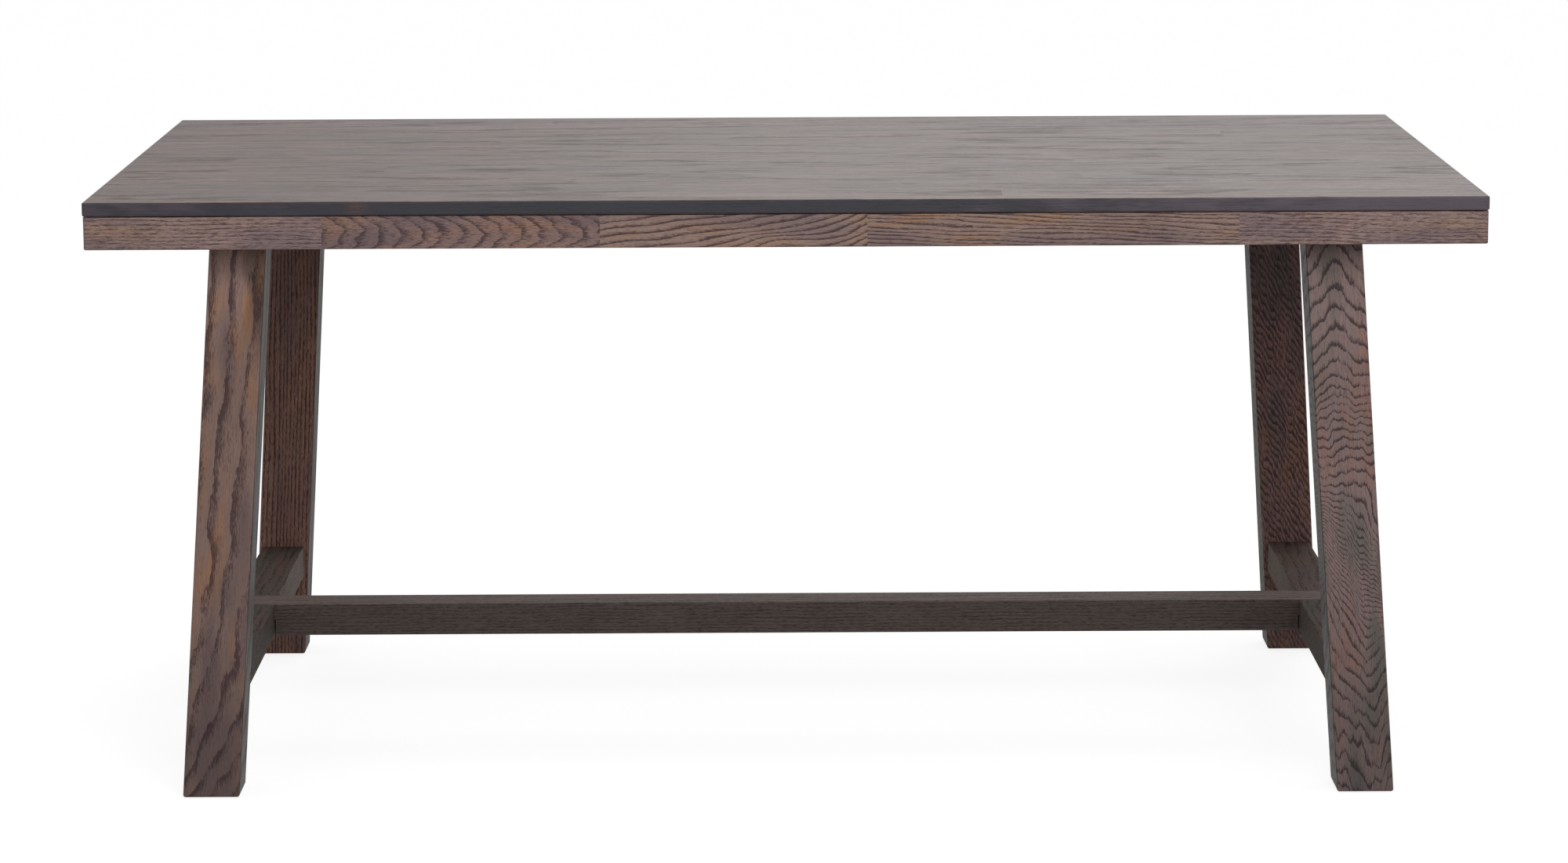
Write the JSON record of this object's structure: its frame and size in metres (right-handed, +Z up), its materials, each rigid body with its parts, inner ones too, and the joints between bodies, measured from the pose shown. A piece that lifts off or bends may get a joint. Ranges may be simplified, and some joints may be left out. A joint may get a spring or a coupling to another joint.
{
  "type": "dining table",
  "caption": "Rectangular oak trestle dining table: staved board on a mitred apron frame, splayed square legs, low foot rails and a long stretcher half-lapped into them.",
  "frame": {"origin": "on the floor, under the middle of the table top", "axes": "+Z up; +X along the length of the table; -Y is the front long side; +X is the right end seen from the front"},
  "size_m": [1.7, 0.95, 0.75],
  "materials": {
    "top_oak": "grey-taupe oak with a satin lacquer, long straight grain with cathedral flecks",
    "apron_oak": "mauve-brown stained oak, satin lacquer, open dark pores",
    "leg_oak": "brown-grey stained oak, satin lacquer, dark wavy grain along the leg",
    "rail_oak": "dark grey-brown stained oak, satin lacquer, fine straight grain",
    "inner_wood": "plain unstained hardwood, planed",
    "fastener_steel": "zinc-plated steel",
    "insert_brass": "turned brass",
    "glide_plastic": "dark brown moulded plastic"
  },
  "bodies": {
    "root": {"apron_splines": "inner_wood", "back_apron_1": "apron_oak", "back_apron_2": "apron_oak", "back_apron_3": "apron_oak", "back_apron_4": "apron_oak", "back_apron_5": "apron_oak", "batten_left": "inner_wood", "batten_right": "inner_wood", "batten_screws": "fastener_steel", "bearer_bolts": "fastener_steel", "bearer_inserts": "insert_brass", "bearer_left": "inner_wood", "bearer_right": "inner_wood", "bearer_washers": "fastener_steel", "button_screws": "fastener_steel", "corner_block_back_left": "inner_wood", "corner_block_back_right": "inner_wood", "corner_block_front_left": "inner_wood", "corner_block_front_right": "inner_wood", "corner_block_screws": "fastener_steel", "foot_glides": "glide_plastic", "foot_rail_left": "rail_oak", "foot_rail_right": "rail_oak", "front_apron_1": "apron_oak", "front_apron_2": "apron_oak", "front_apron_3": "apron_oak", "front_apron_4": "apron_oak", "front_apron_5": "apron_oak", "lap_bolts": "fastener_steel", "lap_inserts": "insert_brass", "lap_washers": "fastener_steel", "left_apron_1": "apron_oak", "left_apron_2": "apron_oak", "left_apron_3": "apron_oak", "leg_back_left": "leg_oak", "leg_back_right": "leg_oak", "leg_front_left": "leg_oak", "leg_front_right": "leg_oak", "right_apron_1": "apron_oak", "right_apron_2": "apron_oak", "right_apron_3": "apron_oak", "stretcher": "rail_oak", "top_buttons": "inner_wood", "top_stave_1": "top_oak", "top_stave_10": "top_oak", "top_stave_2": "top_oak", "top_stave_3": "top_oak", "top_stave_4": "top_oak", "top_stave_5": "top_oak", "top_stave_6": "top_oak", "top_stave_7": "top_oak", "top_stave_8": "top_oak", "top_stave_9": "top_oak"}
  },
  "joints": []
}
